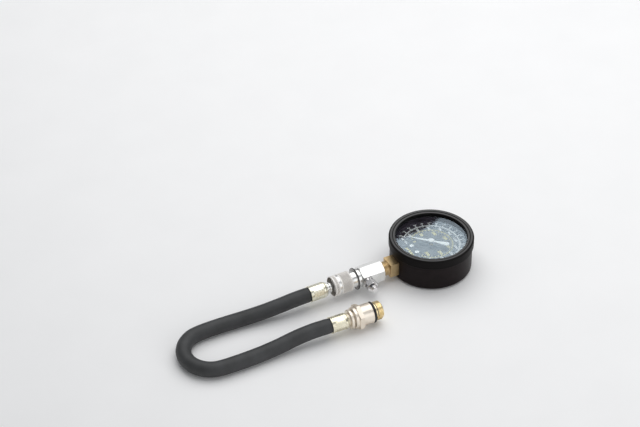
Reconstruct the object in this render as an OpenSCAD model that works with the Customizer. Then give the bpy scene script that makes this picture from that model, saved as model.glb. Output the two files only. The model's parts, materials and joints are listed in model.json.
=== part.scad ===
// Compression tester gauge with its flexible test hose.
// Millimetres. The origin is the centre of the gauge back, the dial faces +Z and 12 o'clock is +Y.
// The stem, tee, coupler and plug lie on one axis along -Y; the relief valve points along +X.

/* [Gauge head] */
// outside diameter of the pressed case
case_d = 80; // [78:0.5:100]
// sheet thickness of the case
case_wall = 1; // [0.8:0.1:1.4]
// outside radius where the case back turns into the wall
case_corner = 3.5; // [2.5:0.5:5]
// wall of the bezel skirt
bezel_wall = 1.2; // [0.8:0.1:2]
// length of the skirt below the case rim
bezel_skirt = 3; // [2:0.5:6]
// height of the bezel above the window
bezel_rise = 3; // [2:0.5:5]
// width of the bezel face
bezel_face = 6.6; // [6:0.1:9]
// thickness of the window
window_t = 2.4; // [1.5:0.1:4]
// thickness of the window gasket
gasket_t = 1.2; // [0.8:0.1:2]
// free height between pointer hub and window
window_room = 0.8; // [0.5:0.1:5]

/* [Dial and pointer] */
// free width between dial edge and case wall
dial_gap = 2.5; // [1:0.5:4]
// thickness of the dial plate
dial_t = 0.6; // [0.4:0.1:1]
// hole in the dial for the spindle
dial_hole_d = 5; // [4:0.5:8]
// pointer length from the spindle to the tip
pointer_len = 25; // [20:0.5:30]
// length of the broad pointer tail
pointer_tail = 18; // [12:0.5:22]
// width of the pointer at the hub
pointer_w = 3; // [2:0.1:4]
// width of the round pointer tail
tail_w = 5.2; // [3:0.1:6]
// thickness of the pointer
pointer_t = 0.5; // [0.3:0.1:1]
// height of the pointer hub above the dial
hub_rise = 2.2; // [1:0.1:4]
// diameter of the pointer hub
hub_d = 6.4; // [4.5:0.1:8]
// height of the pointer hub
hub_h = 2.4; // [2:0.1:4]
// angle of zero, clockwise from 12 o'clock
zero_angle = 225; // [200:5:250]

/* [Movement] */
// teeth of the pinion
pinion_teeth = 12; // [12:1:14]
// teeth the sector would have as a full wheel
sector_teeth = 90; // [84:1:92]
// pressure angle of the teeth
pressure_angle = 25; // [20:1:26]
// thinning of each tooth for free running
backlash = 0.06; // [0.04:0.01:0.1]
// swing of the sector over the whole scale
sector_swing = 36; // [30:1:40]
// direction of the link in the dial plane
link_angle = 38; // [34:1:42]
// thickness of the movement plates
plate_t = 1; // [0.8:0.1:1.5]
// free height between the plates
plate_room = 3; // [2.8:0.1:4]
// height of the dial above the top plate
spacer_h = 1; // [0.6:0.1:2]
// radius of the sector arbor and spindle pivots
pivot_r = 0.75; // [0.6:0.05:0.9]
// thickness of the Bourdon tube across
tube_t = 3.2; // [2.6:0.1:4]
// width of the Bourdon tube along the gauge axis
tube_w = 9; // [7:0.5:9]
// wall of the Bourdon tube
tube_wall = 0.4; // [0.3:0.1:0.6]

/* [Stem and tee] */
// height of the stem axis above the gauge back
stem_z = 14; // [13:0.5:18]
// width of the square stem block
block_w = 14.5; // [13:0.5:16]
// length of the block outside the case
block_len = 8.5; // [6:0.5:14]
// diameter of the stem thread
stem_d = 13; // [12:0.1:13.5]
// length of stem thread left bare
stem_show = 7.1; // [4:0.1:10]
// width of the tee across flats
tee_af = 19; // [18:0.5:24]
// length of the hexagonal tee
tee_len = 23.6; // [23:0.1:30]
// bore through stem, tee and coupler
bore_d = 5; // [3:0.5:5.5]

/* [Relief valve] */
// distance of the valve axis from the coupler end of the tee
relief_back = 5.2; // [5:0.1:7]
// diameter of the round valve collar
relief_collar_d = 10.6; // [8.6:0.2:10.8]
// length of the collar
relief_collar = 3; // [2:0.5:4]
// width of the valve hexagon across flats
relief_af = 10; // [9:0.5:12]
// length of the valve hexagon
relief_hex = 6.5; // [6:0.5:10]
// diameter of the button
relief_button_d = 7.4; // [6.4:0.2:8]
// diameter of the step on the button's end
relief_step_d = 5.8; // [4:0.2:6]
// length of the button outside its spring
relief_button_l = 2.6; // [2:0.1:5]
// stroke of the button
relief_stroke = 1.6; // [1:0.1:2]

/* [Quick coupler] */
// outside diameter of the sleeve
sleeve_d = 19.8; // [19:0.2:22]
// length of the sleeve
sleeve_len = 19.5; // [19:0.5:24]
// diameter of the coupler body under the sleeve
coupler_d = 16; // [15.6:0.1:16.6]
// diameter of the flange against the tee
flange_d = 18; // [16.8:0.2:20]
// length of the flange
flange_len = 4.2; // [3:0.1:6]
// diameter of the retaining disc
disc_d = 21.6; // [20:0.2:24]
// thickness of the retaining disc
disc_t = 0.8; // [0.6:0.1:2]
// bare body between disc and sleeve
coupler_show = 5.1; // [4.2:0.1:8]
// diameter of the plug nose
plug_d = 10.4; // [10:0.1:10.8]
// locking ball diameter
ball_d = 2.8; // [2.4:0.1:2.8]
// how far the sleeve pulls back
sleeve_stroke = 3.5; // [3.2:0.1:3.6]

/* [Hose] */
// outside diameter of the hose
hose_d = 14.5; // [13:0.1:16]
// bore of the hose
hose_bore = 7; // [6:0.1:8]
// plug length between sleeve mouth and ferrule
plug_show = 6.4; // [6:0.1:10]
// wall of the crimped ferrules
ferrule_wall = 0.8; // [0.7:0.1:1.2]
// length of a ferrule
ferrule_len = 17.6; // [15:0.1:24]
// how much the crimped hose is thinner all round
hose_squeeze = 0.4; // [0.3:0.1:0.8]

/* [Thread adapter] */
// diameter of the plug thread
tip_d = 18; // [16:0.5:19]
// length of the plug thread
tip_len = 8; // [6:0.5:12]
// diameter of the round shoulder behind the hexagon
shoulder_d = 20.6; // [19:0.2:21.6]
// length of the shoulder
shoulder_len = 3.4; // [2:0.1:6]
// width across flats
adapter_af = 22; // [21:0.5:24]
// length of the hexagon
adapter_hex = 4.6; // [4:0.1:10]
// diameter of the barrel
barrel_d = 20; // [19:0.2:21]
// length of the barrel
barrel_len = 11; // [8:0.5:14]
// diameter of the collar on the hose end
collar_d = 18.7; // [16:0.1:20]
// length of the collar
collar_len = 3; // [2.5:0.5:6]
// bare neck between the ferrule and the collar
neck_show = 1; // [0.6:0.1:3]
// gap between the collar and the adapter
adapter_gap = 1.1; // [0.8:0.1:3]
// diameter of the hose end thread inside the adapter
tail_thread_d = 14; // [13:0.5:14.5]
// section diameter of the O-ring
o_ring_d = 2.5; // [2:0.1:3]

/* [Fits] */
// radial clearance of turning and sliding fits
fit_run = 0.05; // [0.02:0.01:0.08]
// free air between pieces that pass each other
air = 0.35; // [0.3:0.05:0.5]

/* [Hidden] */
$fn = 64;
eps = 0.01;

// heights in the gauge head, from the back up
case_r = case_d / 2;
case_ir = case_r - case_wall;
seat_z = stem_z + 4.6;
low_plate_z = seat_z;
gear_z = low_plate_z + plate_t;
top_plate_z = gear_z + plate_room;
spacer_z = top_plate_z + plate_t;
dial_z = spacer_z + spacer_h;
dial_top = dial_z + dial_t;
hub_z = dial_top + hub_rise;
pointer_z = hub_z + 1;
hub_top = hub_z + hub_h;
window_z = hub_top + window_room;
rim_z = window_z - gasket_t;
window_top = window_z + window_t;
bezel_top = window_top + bezel_rise;
bezel_ir = case_r + fit_run;
bezel_r = bezel_ir + bezel_wall;
open_r = bezel_r - bezel_face;
dial_r = case_ir - dial_gap;
pointer_dir = 90 - zero_angle;

// movement geometry: the movement grows with the case it is made for
grow = case_d / 80;
gear_m = 0.45 * grow;
tail_arm = 6 * grow;
pinion_r = gear_m * pinion_teeth / 2;
sector_r = gear_m * sector_teeth / 2;
pivot_y = -(pinion_r + sector_r);
tooth_pitch = 360 / sector_teeth;
first_tooth = -ceil(sector_swing / tooth_pitch) - 1;
rim_in = sector_r - 5 * gear_m - 0.5;
sector_low = gear_z + 0.4;
sector_t = 1;
link_low = sector_low + sector_t + 0.3;
link_t = 0.6;
half_swing = sector_swing / 2;
tail_dir = link_angle - 90 - half_swing;
tail_pin_r = tail_arm / cos(half_swing);
tail_pin = [tail_pin_r * cos(tail_dir), pivot_y + tail_pin_r * sin(tail_dir)];
pillar_x = 5.3 * grow;
pillar_y = -18.6 * grow;
rear_x = 6.2 * grow;
rear_y = 5.2 * grow;
pillar_r = 1.5;
plate_x = rear_x + 2.3 * grow;
screw_r = 0.9;
spring_thick = 0.12;
spring_turns = 4.5;
collet_r = 1.5;
spigot_r = pivot_r + 0.45;

// Bourdon tube: from its root in the socket clockwise round to the tip
tube_r = case_ir - 10.5 * grow;
root_angle = 261.5;
tip_pin_at = tube_r - tube_t / 2 - grow;
link_u = [cos(link_angle), sin(link_angle)];
link_b = tail_pin * link_u;
link_len = -link_b + sqrt(link_b * link_b - tail_pin * tail_pin + tip_pin_at * tip_pin_at);
tip_pin = tail_pin + link_len * link_u;
tip_angle = atan2(tip_pin[1], tip_pin[0]);
tube_end = tip_angle + 5;

// stations along the stem axis, measured from the gauge centre
socket_end = 16 * grow;
neck_in = case_ir - 4.5 * grow;
block_end = case_r + block_len;
tee_start = block_end + stem_show;
tee_end = tee_start + tee_len;
stem_end = tee_start + 10.4;
nipple_r = 5.2;
nipple_end = tee_end + 5.5;
relief_s = tee_end - relief_back;
flange_end = tee_end + flange_len;
disc_end = flange_end + disc_t;
sleeve_start = disc_end + coupler_show;
sleeve_end = sleeve_start + sleeve_len;
step_s = sleeve_start + 2;
spring_room = 6;
shoulder_s = step_s + spring_room;
mouth_s = sleeve_end - 4.1;
nose_end = sleeve_end - 2.8;
coupler_r = coupler_d / 2;
plug_r = plug_d / 2;
ball_r = ball_d / 2;
ball_s = mouth_s - ball_r - 0.3;
ball_at = plug_r + 0.4;
nose_r = ball_at + ball_r;
plug_seat = max(flange_end, nipple_end + 0.3) + 2.6;
plug_tip = plug_seat + 0.5;
seal_r = 0.8;
seal_s = plug_seat + 3;
ferrule_s = sleeve_end + plug_show;
ferrule_end = ferrule_s + ferrule_len;
ferrule_front = 1.5;
bore_r = bore_d / 2;

// hose section and its ends
hose_r = hose_d / 2;
hose_in = hose_bore / 2;
crimp_r = hose_r - hose_squeeze;
ferrule_ir = crimp_r + 0.05;
ferrule_r = ferrule_ir + ferrule_wall;
tail_r = hose_in - 0.1;
peep_r = 0.75;
peep_back = 3.2;
peep_turn = 41;

// far end of the hose: rim of the far ferrule, direction and stations from that rim
far_rim = [47.1, -134.5, adapter_af / sqrt(3) + 0.1];
far_turn = 2;
far_dir = [sin(far_turn), cos(far_turn), 0];
neck_t = ferrule_len;
collar_t = neck_t + neck_show;
collar_end = collar_t + collar_len;
shoulder_t = collar_end + adapter_gap;
hex_t = shoulder_t + shoulder_len;
hex_end = hex_t + adapter_hex;
barrel_end = hex_end + barrel_len;
groove_end = barrel_end + o_ring_d;
tip_end = groove_end + tip_len;
tail_thread_r = tail_thread_d / 2;
thread_end = barrel_end - 2;
core_r = 2.6;
core_len = 9;
valve_stroke = 1.5;

// route of the hose between the two ferrules, laid on the floor
hose_floor = hose_r + 0.05;
hose_lay = [
  [-0.1, -148, 13.6],
  [-1, -164, 11.6],
  [-3, -182, 9],
  [-4.9, -200, 7.6],
  [-6, -216, hose_floor],
  [-6.3, -231, hose_floor],
  [-5.9, -242.5, hose_floor],
  [-4.3, -251.5, hose_floor],
  [0.2, -259.2, hose_floor],
  [7.2, -265, hose_floor],
  [15.8, -268, hose_floor],
  [24.8, -268, hose_floor],
  [33.4, -265, hose_floor],
  [40.4, -259.2, hose_floor],
  [44.9, -251.5, hose_floor],
  [46.6, -242.5, hose_floor],
  [47.1, -231, hose_floor],
  [47.1, -217, hose_floor],
  [46.7, -202, 7.5],
  [46.1, -186, 8.6],
  [45.8, -169, 11],
  [46.2, -152, 12.6]];
hose_route = concat(
  [[0, -ferrule_s - ferrule_front - 0.1, stem_z], [0, -ferrule_end, stem_z]],
  hose_lay,
  [far_rim, far_rim + far_dir * (ferrule_len - ferrule_front - 0.1)]);
hose_steps = 3;
hose_sides = 12;

// helpers

function inv(a) = tan(a) * 180 / PI - a;

// half the angle that a tooth takes up at radius r
function tooth_half(r, n) =
  let (rp = gear_m * n / 2, rb = rp * cos(pressure_angle))
  90 / n - backlash * 90 / (PI * rp) + inv(pressure_angle) - (r > rb ? inv(acos(rb / r)) : 0);

// radii at which the flank of a tooth is drawn, root first
function flank(n) =
  let (rp = gear_m * n / 2, rb = rp * cos(pressure_angle), rf = rp - 1.2 * gear_m)
  let (r0 = max(rb, rf), ra = rp + 0.9 * gear_m)
  concat(rf < rb ? [rf] : [], [for (k = [0 : 4]) r0 + (ra - r0) * k / 4]);

// outline of one tooth centred on angle c
function tooth(n, c) =
  let (rs = flank(n), last = len(rs) - 1)
  concat(
    [for (k = [0 : last]) rs[k] * [cos(c - tooth_half(rs[k], n)), sin(c - tooth_half(rs[k], n))]],
    [for (k = [last : -1 : 0])
      rs[k] * [cos(c + tooth_half(rs[k], n)), sin(c + tooth_half(rs[k], n))]]);

function teeth(n, cs) = [for (c = cs) each tooth(n, c)];

function arc(r, a0, a1, n) =
  [for (k = [0 : n]) r * [cos(a0 + (a1 - a0) * k / n), sin(a0 + (a1 - a0) * k / n)]];

function unit(v) = v / norm(v);

// point on a smooth curve from p1 to p2
function curve(p0, p1, p2, p3, t) =
  (2 * p1 + (p2 - p0) * t + (2 * p0 - 5 * p1 + 4 * p2 - p3) * t * t
    + (3 * p1 - p0 - 3 * p2 + p3) * t * t * t) / 2;

function smooth(p, m) =
  let (n = len(p) - 1)
  concat(
    [for (i = [0 : n - 1]) for (k = [0 : m - 1])
      curve(p[max(i - 1, 0)], p[i], p[i + 1], p[min(i + 2, n)], k / m)],
    [p[n]]);

function heading(p, i) = unit(p[min(i + 1, len(p) - 1)] - p[max(i - 1, 0)]);

// ring of points round the centre line, square to it
function hoop(c, t, r, n) =
  let (side = unit(cross([0, 0, 1], t)), up = cross(t, side))
  [for (j = [0 : n - 1]) c + r * (cos(360 * j / n) * side + sin(360 * j / n) * up)];

function helix(r, z0, z1, turns, per) =
  let (n = turns * per)
  [for (i = [0 : n]) [r * cos(360 * i / per), r * sin(360 * i / per), z0 + (z1 - z0) * i / n]];

// closed wire of n sides along the points p
module wire(p, r, n) {
  m = len(p);
  rings = [for (i = [0 : m - 1]) each hoop(p[i], heading(p, i), r, n)];
  walls = [for (i = [0 : m - 2]) for (j = [0 : n - 1])
    let (a = i * n + j, b = i * n + (j + 1) % n)
    each [[a, a + n, b + n], [a, b + n, b]]];
  start = [for (j = [1 : n - 2]) [0, j, j + 1]];
  finish = [for (j = [1 : n - 2]) [(m - 1) * n, (m - 1) * n + j + 1, (m - 1) * n + j]];
  polyhedron(rings, concat(walls, start, finish));
}

// open-ended tube of n sides with its own radius at each point
module tube_along(p, ro, ri, n) {
  m = len(p);
  outer = [for (i = [0 : m - 1]) each hoop(p[i], heading(p, i), ro[i], n)];
  inner = [for (i = [0 : m - 1]) each hoop(p[i], heading(p, i), ri, n)];
  k = m * n;
  outside = [for (i = [0 : m - 2]) for (j = [0 : n - 1])
    let (a = i * n + j, b = i * n + (j + 1) % n)
    each [[a, a + n, b + n], [a, b + n, b]]];
  inside = [for (i = [0 : m - 2]) for (j = [0 : n - 1])
    let (a = k + i * n + j, b = k + i * n + (j + 1) % n)
    each [[a, b + n, a + n], [a, b, b + n]]];
  start = [for (j = [0 : n - 1])
    let (b = (j + 1) % n)
    each [[j, b, k + b], [j, k + b, k + j]]];
  last = (m - 1) * n;
  finish = [for (j = [0 : n - 1])
    let (b = (j + 1) % n)
    each [[last + j, k + last + b, last + b], [last + j, k + last + j, k + last + b]]];
  polyhedron(concat(outer, inner), concat(outside, inside, start, finish));
}

// local Z runs along the stem axis, away from the gauge
module on_stem() {
  translate([0, 0, stem_z]) rotate([90, 0, 0]) children();
}

// local Z runs along the relief valve, out of the tee
module on_relief() {
  translate([0, -relief_s, stem_z]) rotate([0, 90, 0]) children();
}

// local Z runs along the far end of the hose, towards the thread
module on_far() {
  translate(far_rim) rotate([0, 0, -far_turn]) rotate([-90, 0, 0]) children();
}

module turned(points) {
  rotate_extrude() polygon(points);
}

module pipe(z0, z1, ro, ri) {
  turned([[ri, z0], [ro, z0], [ro, z1], [ri, z1]]);
}

module hexagon(z0, z1, af, turn) {
  translate([0, 0, z0]) rotate(turn) cylinder(h = z1 - z0, r = af / sqrt(3), $fn = 6);
}

module at_pillars() {
  for (x = [-pillar_x, pillar_x]) translate([x, pillar_y, 0]) children();
}

module at_rear() {
  for (x = [-rear_x, rear_x]) translate([x, rear_y, 0]) children();
}

module round_plate(x0, x1, y0, y1, r, h) {
  translate([x0 + r, y0, 0]) cube([x1 - x0 - 2 * r, y1 - y0, h]);
  translate([x0, y0 + r, 0]) cube([x1 - x0, y1 - y0 - 2 * r, h]);
  for (x = [x0 + r, x1 - r]) {
    for (y = [y0 + r, y1 - r]) {
      translate([x, y, 0]) cylinder(h = h, r = r);
    }
  }
}

// half of the flattened tube section, as a rounded slot
module tube_section(skin) {
  w = tube_w / 2 - tube_t / 2;
  translate([tube_r, stem_z]) {
    square([tube_t + 2 * skin, 2 * w], center = true);
    translate([0, w]) circle(r = tube_t / 2 + skin);
    translate([0, -w]) circle(r = tube_t / 2 + skin);
  }
}

module tube_sweep(a0, a1, skin) {
  rotate([0, 0, a0]) rotate_extrude(angle = a1 - a0) tube_section(skin);
}

// gauge head

module gauge_case() {
  c = case_corner;
  k = case_corner - case_wall;
  color([0.06, 0.06, 0.07]) difference() {
    union() {
      pipe(c - eps, rim_z, case_r, case_ir);
      cylinder(h = case_wall, r = case_r - c);
      rotate_extrude() translate([case_r - c, c]) difference() {
        circle(r = c);
        circle(r = k);
        translate([-2 * c, -2 * c]) square([2 * c, 4 * c]);
        translate([-2 * c, 0]) square([4 * c, 2 * c]);
      }
    }
    translate([-block_w / 2 - fit_run, -case_r - 1, stem_z - block_w / 2 - fit_run])
      cube([block_w + 2 * fit_run, 8, block_w + 2 * fit_run]);
    case_screw_places() cylinder(h = case_wall, r1 = 2.8 + fit_run, r2 = 1.5 + fit_run);
    case_screw_places() translate([0, 0, -1]) cylinder(h = 5, r = 1.5 + fit_run);
  }
}

module case_screw_places() {
  for (y = [-30 * grow, -20.5 * grow]) translate([0, y, 0]) children();
}

module bezel_ring() {
  r = bezel_r;
  color([0.05, 0.05, 0.06]) turned([
    [bezel_ir, rim_z - bezel_skirt],
    [r - 0.3, rim_z - bezel_skirt],
    [r, rim_z - bezel_skirt + 0.4],
    [r, bezel_top - 1.6],
    [r - 0.45, bezel_top - 0.6],
    [r - 1.3, bezel_top - 0.1],
    [r - 2, bezel_top],
    [r - 3.4, bezel_top - 0.3],
    [r - 3.7, bezel_top - 0.9],
    [r - 4, bezel_top - 0.9],
    [r - 4.2, bezel_top - 0.5],
    [open_r + 0.5, bezel_top - 0.6],
    [open_r, bezel_top - 1],
    [open_r, window_top],
    [bezel_ir, window_top]]);
}

module window() {
  color([0.8, 0.88, 0.9, 0.3]) translate([0, 0, window_z]) cylinder(h = window_t, r = case_r - 0.4);
}

module window_gasket() {
  color([0.1, 0.1, 0.1]) pipe(rim_z, window_z, case_r - 0.2, case_ir - 2.2);
}

module case_screws() {
  color([0.6, 0.6, 0.58]) case_screw_places() difference() {
    union() {
      cylinder(h = case_wall, r1 = 2.8, r2 = 1.5);
      cylinder(h = 8, r = 1.5);
    }
    translate([-3, -0.35, -1]) cube([6, 0.7, 1.5]);
  }
}

// dial and pointer

module dial_plate() {
  color([0.07, 0.07, 0.08]) difference() {
    translate([0, 0, dial_z]) cylinder(h = dial_t, r = dial_r);
    translate([0, 0, dial_z - 1]) cylinder(h = 3, r = dial_hole_d / 2);
    at_pillars() translate([0, 0, dial_z - 1]) cylinder(h = 3, r = screw_r + fit_run);
    stop_place() translate([0, 0, dial_z - 1]) cylinder(h = 3, r = 0.6 + fit_run);
  }
}

module dial_screws() {
  color([0.75, 0.74, 0.7]) at_pillars() difference() {
    union() {
      translate([0, 0, stem_z - 1.5]) cylinder(h = dial_top - stem_z + 1.6, r = screw_r);
      translate([0, 0, dial_top]) cylinder(h = 0.8, r = 1.9);
    }
    translate([-3, -0.25, dial_top + 0.4]) cube([6, 0.5, 2]);
  }
}

module dial_spacers() {
  color([0.72, 0.58, 0.3]) at_pillars() pipe(spacer_z, dial_z, 1.9, screw_r + fit_run);
}

// the pin stands on the side of the pointer away from the scale
module stop_place() {
  at = 0.8 * pointer_len;
  turn = atan((0.55 + 0.6 + air) / at);
  rotate(pointer_dir + turn) translate([at, 0, 0]) children();
}

module stop_pin() {
  color([0.8, 0.8, 0.78]) stop_place() translate([0, 0, dial_z]) cylinder(h = hub_top - dial_z, r = 0.6);
}

module pointer() {
  e = tail_w / 2;
  w = pointer_w / 2;
  tail = [for (a = [100 : 20 : 260]) [-pointer_tail + e + e * cos(a), e * sin(a)]];
  color([0.95, 0.95, 0.95]) translate([0, 0, pointer_z]) rotate(pointer_dir) difference() {
    linear_extrude(pointer_t) polygon(concat(
      [[pointer_len, -w / 10], [pointer_len, w / 10], [0, w], [-pointer_tail / 3, 0.75 * w]],
      tail,
      [[-pointer_tail / 3, -0.75 * w], [0, -w]]));
    translate([0, 0, -1]) cylinder(h = 3, r = spigot_r + 0.02);
  }
}

// a bush with a lower collar that carries the pointer blade
module pointer_hub() {
  color([0.75, 0.75, 0.72]) difference() {
    turned([
      [0, hub_z],
      [hub_d / 2 - 0.4, hub_z],
      [hub_d / 2 - 0.4, pointer_z - 0.02],
      [spigot_r, pointer_z - 0.02],
      [spigot_r, pointer_z + pointer_t + 0.02],
      [hub_d / 2, pointer_z + pointer_t + 0.02],
      [hub_d / 2, hub_top - 0.3],
      [hub_d / 2 - 0.3, hub_top],
      [0, hub_top]]);
    translate([0, 0, hub_z - 1]) cylinder(h = hub_h + 0.6, r = pivot_r + 0.01);
  }
}

// stem and Bourdon tube

module stem_socket() {
  w = block_w / 2;
  color([0.72, 0.6, 0.36]) difference() {
    union() {
      translate([-w, -neck_in - eps, case_wall]) cube([block_w, neck_in - socket_end, seat_z - case_wall]);
      translate([-w, -block_end, stem_z - w]) cube([block_w, block_end - neck_in, block_w]);
      on_stem() translate([0, 0, block_end - 1]) cylinder(h = stem_end - block_end + 1, r = stem_d / 2);
    }
    on_stem() translate([0, 0, tube_r - 1.5]) cylinder(h = 60, r = 2);
    translate([-tube_r, -tube_r + 0.5, stem_z]) rotate([0, 90, 0]) cylinder(h = tube_r, r = 1.2);
    tube_sweep(240, root_angle + 0.3, fit_run);
    case_screw_places() translate([0, 0, -1]) cylinder(h = 9.6, r = 1.5 + fit_run);
    at_pillars() translate([0, 0, stem_z - 2]) cylinder(h = 10, r = screw_r + fit_run);
  }
}

module bourdon_tube() {
  color([0.75, 0.62, 0.38]) difference() {
    tube_sweep(tube_end, root_angle, 0);
    tube_sweep(tube_end - 1, root_angle + 1, -tube_wall);
  }
}

// closed end of the tube with the lug and pin for the link
module tube_tip() {
  color([0.7, 0.58, 0.34]) {
    tube_sweep(tube_end - 9, tube_end - 0.1, 0.3);
    translate([tip_pin[0], tip_pin[1], stem_z]) cylinder(h = link_low - stem_z, r = 1.6);
    translate([tip_pin[0], tip_pin[1], stem_z]) cylinder(h = link_low + link_t + 0.3 - stem_z, r = pivot_r);
  }
}

module link() {
  color([0.78, 0.7, 0.5]) translate([tail_pin[0], tail_pin[1], link_low]) rotate(link_angle) difference() {
    union() {
      translate([0, -1, 0]) cube([link_len, 2, link_t]);
      cylinder(h = link_t, r = 1.5);
      translate([link_len, 0, 0]) cylinder(h = link_t, r = 1.5);
    }
    translate([0, 0, -1]) cylinder(h = 3, r = pivot_r + 0.02);
    translate([link_len, 0, -1]) cylinder(h = 3, r = pivot_r + 0.02);
  }
}

module link_pin() {
  color([0.75, 0.75, 0.75]) translate([tail_pin[0], tail_pin[1], 0]) {
    translate([0, 0, sector_low]) cylinder(h = link_low + link_t - sector_low, r = pivot_r);
    translate([0, 0, link_low + link_t]) cylinder(h = 0.35, r = 1.2);
  }
}

// movement

module movement_bottom_plate() {
  color([0.78, 0.64, 0.34]) translate([0, 0, low_plate_z]) difference() {
    round_plate(-plate_x, plate_x, pivot_y - 3.5 * grow, rear_y + 3 * grow, 2, plate_t);
    translate([0, 0, -1]) cylinder(h = 4, r = pivot_r + fit_run);
    translate([0, pivot_y, -1]) cylinder(h = 4, r = pivot_r + fit_run);
    at_pillars() translate([0, 0, -1]) cylinder(h = 4, r = screw_r + fit_run);
    at_rear() translate([0, 0, -1]) cylinder(h = 4, r = screw_r);
  }
}

module movement_top_plate() {
  color([0.78, 0.64, 0.34]) translate([0, 0, top_plate_z]) difference() {
    round_plate(-plate_x, plate_x, pivot_y - 2.4 * grow, rear_y + 3 * grow, 2, plate_t);
    translate([0, 0, -1]) cylinder(h = 4, r = pivot_r + fit_run);
    translate([0, pivot_y, -1]) cylinder(h = 4, r = pivot_r + fit_run);
    at_pillars() translate([0, 0, -1]) cylinder(h = 4, r = screw_r + fit_run);
    at_rear() translate([0, 0, -1]) cylinder(h = 4, r = screw_r);
  }
}

module movement_pillars() {
  color([0.75, 0.6, 0.32]) {
    at_pillars() pipe(gear_z, top_plate_z, pillar_r, screw_r + fit_run);
    at_rear() {
      translate([0, 0, gear_z]) cylinder(h = plate_room, r = pillar_r);
      translate([0, 0, low_plate_z]) cylinder(h = plate_room + 2 * plate_t, r = screw_r);
    }
  }
}

module sector_gear() {
  low = first_tooth * tooth_pitch + 90 - tooth_pitch / 2;
  high = 90 + 1.5 * tooth_pitch;
  cs = [for (k = [first_tooth : 1]) 90 + k * tooth_pitch];
  mid = (low + high) / 2;
  arm = 1.8 * grow;
  color([0.8, 0.66, 0.36]) translate([0, pivot_y, sector_low]) difference() {
    union() {
      linear_extrude(sector_t) polygon(concat(teeth(sector_teeth, cs), arc(rim_in, high, low, 14)));
      rotate(mid) linear_extrude(sector_t) polygon([[0, -arm], [sector_r / 2, -arm], [rim_in + 0.6, -3 * arm],
        [rim_in + 0.6, 3 * arm], [sector_r / 2, arm], [0, arm]]);
      cylinder(h = sector_t, r = 2.6 * grow);
      rotate(tail_dir) translate([0, -1.7, 0]) cube([tail_pin_r + 0.2, 3.4, sector_t]);
      rotate(tail_dir) translate([tail_pin_r + 0.2, 0, 0]) cylinder(h = sector_t, r = 1.7);
    }
    translate([0, 0, -1]) cylinder(h = 4, r = pivot_r + 0.01);
    rotate(tail_dir) tail_slot();
  }
}

// radial slot in the tail that lets the link pin keep its straight line
module tail_slot() {
  w = pivot_r + fit_run;
  for (r = [tail_arm - 0.1, tail_pin_r + 0.1]) translate([r, 0, -1]) cylinder(h = 4, r = w);
  translate([tail_arm - 0.1, -w, -1]) cube([tail_pin_r - tail_arm + 0.2, 2 * w, 4]);
}

module sector_arbor() {
  color([0.7, 0.7, 0.7]) translate([0, pivot_y, 0]) {
    translate([0, 0, low_plate_z + air]) cylinder(h = plate_room + 2 * plate_t - 2 * air, r = pivot_r);
    translate([0, 0, sector_low + sector_t]) cylinder(h = 1, r = 1.6);
  }
}

module pinion() {
  cs = [for (k = [0 : pinion_teeth - 1]) -90 + (k + 0.5) * 360 / pinion_teeth];
  color([0.72, 0.72, 0.72]) {
    translate([0, 0, low_plate_z + 0.1]) cylinder(h = hub_z + hub_h - 0.5 - low_plate_z, r = pivot_r);
    translate([0, 0, sector_low - 0.05]) linear_extrude(sector_t + 0.1) polygon(teeth(pinion_teeth, cs));
  }
}

module hairspring() {
  n = 24 * spring_turns;
  pitch = 0.75 * grow;
  h = spring_thick / 2;
  side = [for (i = [0 : n]) collet_r + h + 0.02 + pitch * i / 24];
  // the outer end lies against the left rear pillar
  out = [for (i = [0 : n]) (side[i] + h) * [cos(15 * i), sin(15 * i)]];
  back = [for (i = [n : -1 : 0]) (side[i] - h) * [cos(15 * i), sin(15 * i)]];
  end = [-rear_x + 0.2, rear_y - pillar_r - 0.05];
  color([0.3, 0.36, 0.5]) translate([0, 0, sector_low + sector_t + 0.5])
    linear_extrude(0.5) polygon(concat(out, [end, end - [0, spring_thick]], back));
}

module hairspring_collet() {
  color([0.76, 0.62, 0.34])
    pipe(sector_low + sector_t + 0.4, sector_low + sector_t + 1.1, collet_r, pivot_r + 0.01);
}

// tee and relief valve

module tee_body() {
  r = tee_af / sqrt(3);
  color([0.82, 0.82, 0.8]) difference() {
    union() {
      on_stem() intersection() {
        hexagon(tee_start, tee_end, tee_af, 30);
        turned([[0, tee_start], [r - 1, tee_start], [r + 0.2, tee_start + 0.7],
          [r + 0.2, tee_end - 0.7], [r - 1, tee_end], [0, tee_end]]);
      }
      on_stem() translate([0, 0, tee_end - 1]) cylinder(h = nipple_end - tee_end + 1, r = nipple_r);
    }
    on_stem() translate([0, 0, tee_start - 1])
      cylinder(h = stem_end - tee_start + 1.6, r = stem_d / 2 + fit_run);
    on_stem() translate([0, 0, tee_start]) cylinder(h = 60, r = bore_r);
    on_relief() cylinder(h = tee_af, r = 3 + fit_run);
  }
}

relief_0 = tee_af / 2;
relief_1 = relief_0 + relief_collar;
relief_2 = relief_1 + relief_hex;
relief_head = relief_2 + relief_stroke + air;
relief_in = relief_0 - 4;

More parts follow.
